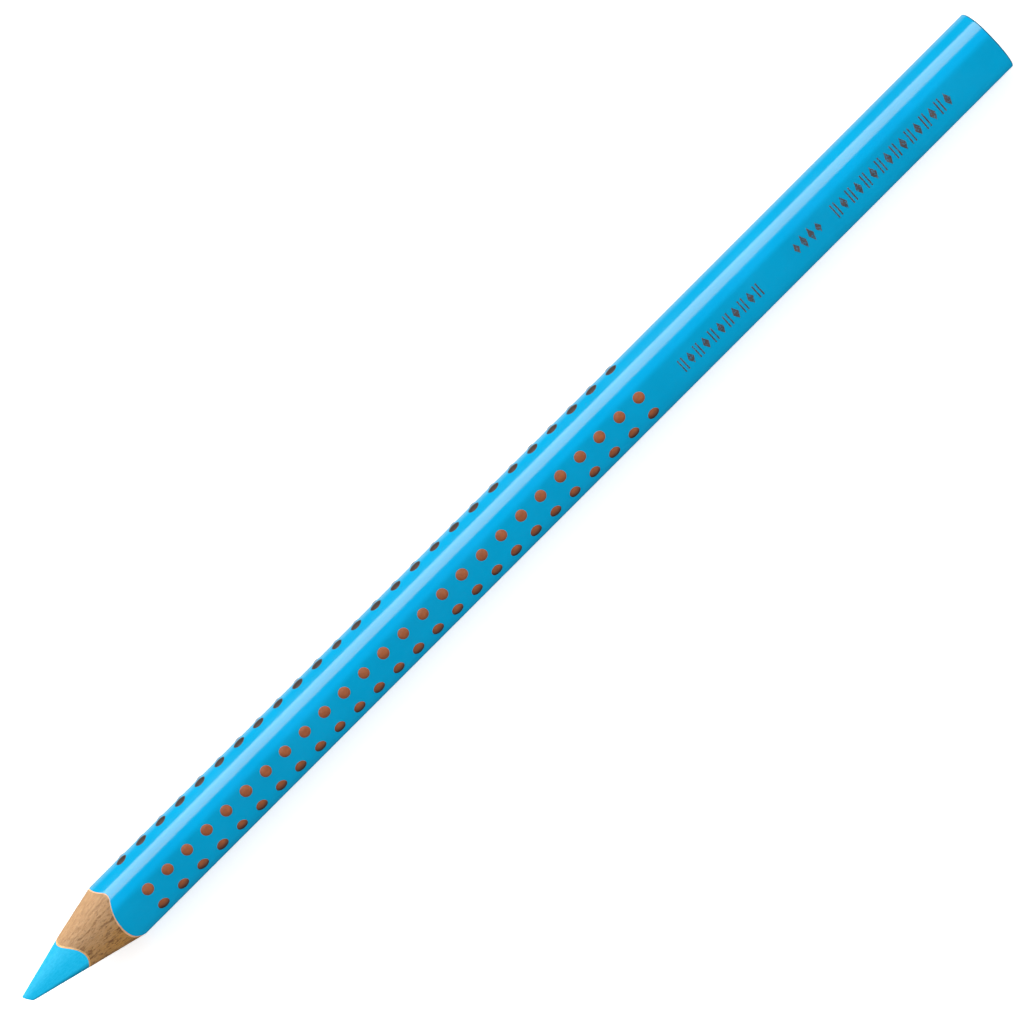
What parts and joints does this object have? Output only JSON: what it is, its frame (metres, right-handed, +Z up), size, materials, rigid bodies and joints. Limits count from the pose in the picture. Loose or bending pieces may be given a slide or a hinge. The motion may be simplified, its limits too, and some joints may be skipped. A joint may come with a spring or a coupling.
{
  "type": "coloured pencil",
  "caption": "Thick coloured pencil with a soft-triangular lacquered wooden barrel, raised grip dots along its faces, a sharpened wooden cone and a wide coloured lead.",
  "frame": {"origin": "on the table under the middle of the pencil, which lies on one face with an edge on top", "axes": "+X runs from the sharpened point to the rear end, +Z is up through the top edge, +Y is across"},
  "size_m": [0.175, 0.0094, 0.0094],
  "materials": {
    "lead": "matte",
    "glue": "satin",
    "wood": "matte",
    "primer": "matte",
    "lacquer": "satin",
    "varnish": "gloss",
    "grip_dots": "satin"
  },
  "bodies": {
    "root": {"lead_core": "lead", "lead_glue_sleeve": "glue", "lower_slat": "wood", "upper_slat": "wood", "slat_glue_left": "glue", "slat_glue_right": "glue", "primer_coat": "primer", "colour_lacquer": "lacquer", "gloss_varnish": "varnish", "rear_end_dip": "varnish", "grip_dots_row_1": "grip_dots", "grip_dots_row_2": "grip_dots", "grip_dots_row_3": "grip_dots", "grip_dots_row_4": "grip_dots", "grip_dots_row_5": "grip_dots", "grip_dots_row_6": "grip_dots"}
  },
  "joints": []
}
